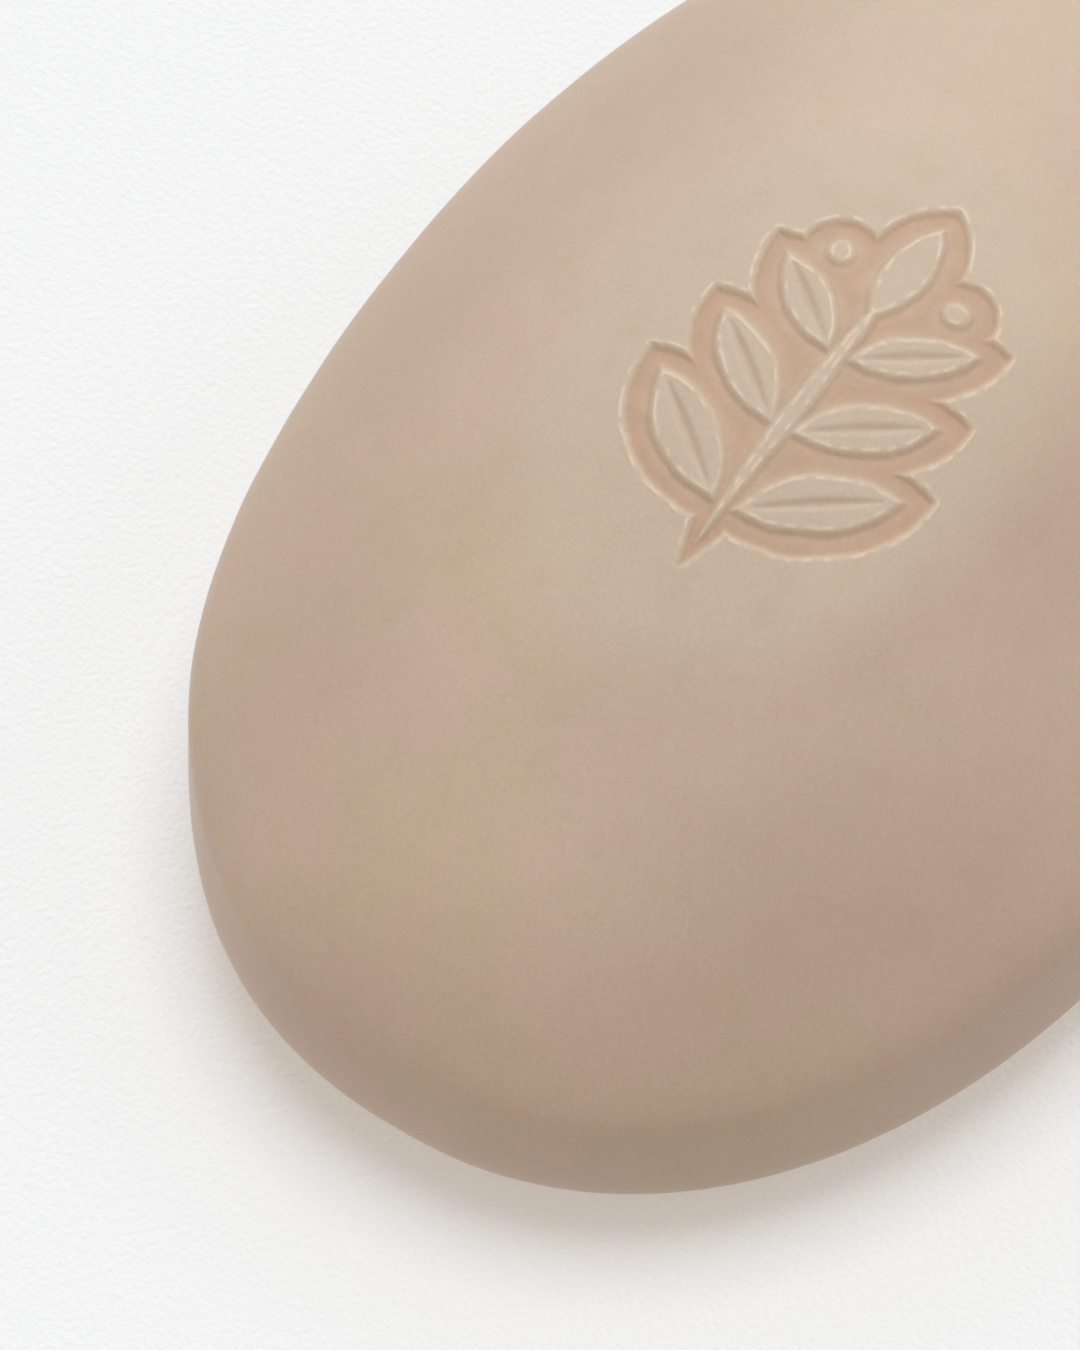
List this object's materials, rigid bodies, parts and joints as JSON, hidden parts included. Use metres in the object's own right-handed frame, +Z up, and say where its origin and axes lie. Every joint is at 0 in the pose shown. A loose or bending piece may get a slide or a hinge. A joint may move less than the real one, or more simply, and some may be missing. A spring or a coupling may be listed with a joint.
{
  "type": "bar of soap",
  "caption": "Oval bar of beige toilet soap with a domed top, rounded edges and a leaf sprig pressed into it, lying on its flat underside.",
  "frame": {"origin": "centre of the flat underside, which the bar rests on", "axes": "+X along the bar, towards the tip of the pressed sprig; +Z up, out of the domed top"},
  "size_m": [0.0948, 0.0632, 0.0278],
  "materials": {
    "soap": "satin"
  },
  "bodies": {
    "root": {"soap_bar": "soap"}
  },
  "joints": []
}
